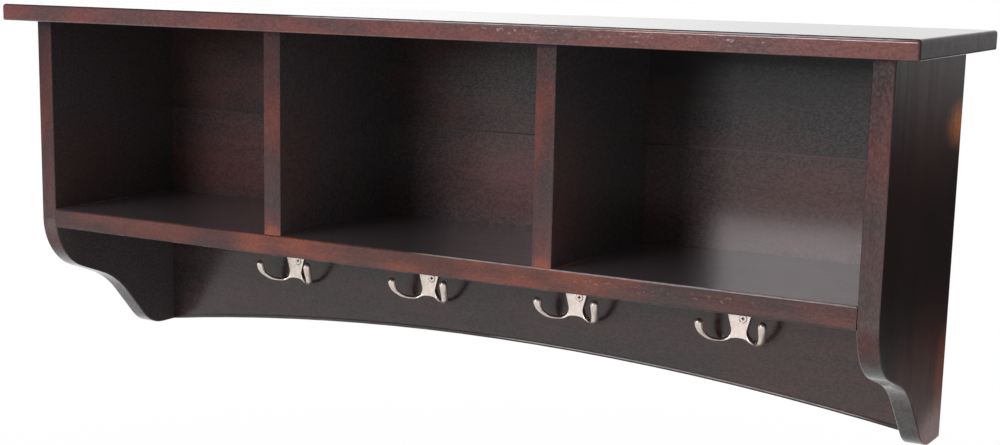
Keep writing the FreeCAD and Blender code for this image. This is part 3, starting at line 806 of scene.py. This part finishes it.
def metalMaterial(name, recessed=False):
    look = metals[name]
    material, tree, shader = newMaterial(name)
    shader.inputs["Metallic"].default_value = 1.0
    place = addNode(tree, "ShaderNodeTexCoord").outputs["Object"]
    mottle = rangeOf(tree, noise(tree, place, look["mottleScale"], 4.0), *castSkin["mottleSpan"])
    colour = mixColours(tree, mottle, look["bright"], look["dull"])
    # painted shade in the screws' cross and on the metal about it
    if recessed:
        colour = mixColours(tree, recessShadeMask(tree, place), colour, recess["recessShade"])
    feed(tree, shader.inputs["Base Color"], colour)
    feed(tree, shader.inputs["Roughness"], fade(tree, mottle, *look["roughness"]))
    height = noise(tree, place, look["mottleScale"] * castSkin["fineness"], 2.0)
    addRelief(tree, shader, height, castSkin["reliefDepth"], castSkin["relief"])
    return material


def birchMaterial():
    material, tree, shader = newMaterial("plain_birch")
    marks = useGroup(tree, grain, Field=addNode(tree, "ShaderNodeTexCoord").outputs["Object"])
    feed(tree, shader.inputs["Base Color"], mixColours(tree, marks["Streaks"], birch["light"], birch["dark"]))
    feed(tree, shader.inputs["Roughness"], fade(tree, marks["Clouds"], *birch["roughness"]))
    return material


satinNickel = metalMaterial("satin_nickel")
casting.materials.append(satinNickel)
fittings = (
    (satinNickel, ("hook_1", "hook_2", "hook_3", "hook_4")),
    (metalMaterial("screw_steel", recessed=True), ("hook_screws",)),
    (metalMaterial("zinc_plate"),
     ("back_pins", "left_keyhole_plate", "right_keyhole_plate", "keyhole_screws")),
    (birchMaterial(), ("side_top_dowels", "divider_dowels", "shelf_dowels")),
)
for material, names in fittings:
    for name in names:
        paint(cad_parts[name], material)
print("fittings finished")


# Studio: pale floor, white background, soft lamps

studio = {
    "floorZ": -0.75, "floorSize": 9.0, "floorRoughness": 0.9,
    "floorColours": ((0.76, 0.76, 0.76, 1.0), (0.80, 0.80, 0.80, 1.0)), "floorTint": (0.97, 1.0),
    "floorCloud": 3.0, "floorCloudSpan": (0.3, 0.7),
    "floorWhite": (0.96, 1.0), "floorWhiteOver": (0.6, 2.2),    # white beyond this distance
    "ambient": 0.38,
    # what gloss sees of the room: white floor and backdrop, dimmer walls, a dark corner behind to the right
    "frontFloor": 1.35, "frontWall": 0.15, "backdropLeft": 1.15, "backdropRight": 0.86, "ceiling": 0.2,
    "darkCorner": 0.0, "cornerTop": 0.32, "cornerFloor": 0.27, "below": 0.75,
    # the directions over which these blend into one another
    "wallToFloor": (-0.05, -0.22), "floorToBelow": (-0.38, -0.62), "cornerToTop": (-0.11, -0.03),
    "cornerToFloor": (-0.20, -0.28), "rightToLeft": (-0.30, -0.62), "cornerToBackdrop": (0.12, -0.10),
    "frontToBack": (-0.1, 0.1), "roomToCeiling": (0.22, 0.5),
    "lampColour": (1.0, 0.965, 0.985), "lampTarget": (0.0, -0.1, -0.12),
    "lamps": [
        {"name": "windowLamp", "place": (-1.45, -5.0, 0.95), "size": (1.3, 1.0), "power": 80.0,
         "gloss": True},
        {"name": "softFill", "place": (-2.2, -2.8, 1.1), "size": (2.2, 1.6), "power": 34.0,
         "gloss": False},
    ],
}


def lightRays(tree):
    # two masks: what the camera sees, also through glass, and what gloss reflects
    path = addNode(tree, "ShaderNodeLightPath").outputs
    direct = calculate(tree, "ADD", path["Is Camera Ray"], path["Is Transmission Ray"], clamp=True)
    return direct, path["Is Glossy Ray"]


def makeWorld():
    world = bpy.data.worlds.new("studioWorld")
    bpy.context.scene.world = world
    world.use_nodes = True
    tree = world.node_tree
    background = tree.nodes["Background"]
    direct, glossy = lightRays(tree)
    aim = splitAxes(tree, addNode(tree, "ShaderNodeTexCoord").outputs["Generated"])

    def blendOver(axis, span, start, stop):
        return mixValues(tree, rangeOf(tree, aim[axis], *studio[span]), start, stop)

    front = blendOver("Z", "wallToFloor", studio["frontWall"], studio["frontFloor"])
    front = blendOver("Z", "floorToBelow", front, studio["below"])
    corner = blendOver("Z", "cornerToTop", studio["darkCorner"], studio["cornerTop"])
    corner = blendOver("Z", "cornerToFloor", corner, studio["cornerFloor"])
    backdrop = blendOver("X", "rightToLeft", studio["backdropRight"], studio["backdropLeft"])
    back = blendOver("X", "cornerToBackdrop", corner, backdrop)
    room = blendOver("Z", "roomToCeiling", blendOver("Y", "frontToBack", front, back), studio["ceiling"])
    lit = mixValues(tree, glossy, studio["ambient"], room)
    feed(tree, background.inputs["Strength"], mixValues(tree, direct, lit, 1.0))
    background.inputs["Color"].default_value = (1.0, 1.0, 1.0, 1.0)


def makeFloor():
    half = studio["floorSize"] / 2
    corners = [(-half, -half), (half, -half), (half, half), (-half, half)]
    mesh = bpy.data.meshes.new("studioFloor")
    mesh.from_pydata([(x, y, studio["floorZ"]) for x, y in corners], [], [(0, 1, 2, 3)])
    floor = bpy.data.objects.new("studioFloor", mesh)
    bpy.context.scene.collection.objects.link(floor)
    floor.visible_glossy = False
    material, tree, shader = newMaterial("paleFloor")
    place = addNode(tree, "ShaderNodeTexCoord").outputs["Object"]
    clouds = noise(tree, place, studio["floorCloud"])
    tint = rangeOf(tree, clouds, *studio["floorCloudSpan"], *studio["floorTint"])
    feed(tree, shader.inputs["Base Color"], mixColours(tree, tint, *studio["floorColours"]))
    shader.inputs["Roughness"].default_value = studio["floorRoughness"]
    glow = addNode(tree, "ShaderNodeEmission")
    glow.inputs["Strength"].default_value = 1.0
    blend = addNode(tree, "ShaderNodeMixShader")
    # far from the object the floor is as white as the background
    far = addNode(tree, "ShaderNodeVectorMath", operation="LENGTH")
    feed(tree, far.inputs[0], place)
    white = rangeOf(tree, far.outputs["Value"], *studio["floorWhiteOver"], *studio["floorWhite"])
    feed(tree, blend.inputs[0], times(tree, lightRays(tree)[0], white))
    feed(tree, blend.inputs[1], shader.outputs[0])
    feed(tree, blend.inputs[2], glow.outputs[0])
    feed(tree, tree.nodes["Material Output"].inputs["Surface"], blend.outputs[0])
    mesh.materials.append(material)


def makeLamps():
    target = Vector(studio["lampTarget"])
    for entry in studio["lamps"]:
        lamp = bpy.data.lights.new(entry["name"], "AREA")
        lamp.shape = "RECTANGLE"
        lamp.size, lamp.size_y = entry["size"]
        lamp.energy = entry["power"]
        lamp.color = studio["lampColour"]
        holder = bpy.data.objects.new(entry["name"], lamp)
        holder.location = entry["place"]
        holder.visible_glossy = entry["gloss"]
        holder.rotation_euler = (target - Vector(entry["place"])).to_track_quat("-Z", "Y").to_euler()
        bpy.context.scene.collection.objects.link(holder)


makeWorld()
makeFloor()
makeLamps()
print("studio lit")


# Camera, at the photograph's place

viewPoint = {
    "place": (0.8219, -1.4568, 0.0976),
    "turn": (79.02, -0.80, 32.07),          # degrees about X, Y and Z
    "lens": 62.35, "sensor": 36.0,
    "shift": (0.0697, 0.0638),
    "nearest": 0.05,
}


def makeCamera():
    camera = bpy.data.cameras.new("photoCamera")
    camera.sensor_width = viewPoint["sensor"]
    camera.lens = viewPoint["lens"]
    camera.shift_x, camera.shift_y = viewPoint["shift"]
    camera.clip_start = viewPoint["nearest"]
    holder = bpy.data.objects.new("photoCamera", camera)
    holder.location = viewPoint["place"]
    holder.rotation_euler = [math.radians(angle) for angle in viewPoint["turn"]]
    bpy.context.scene.collection.objects.link(holder)
    bpy.context.scene.camera = holder


makeCamera()
bpy.context.scene.view_settings.view_transform = "Standard"
print("camera placed")
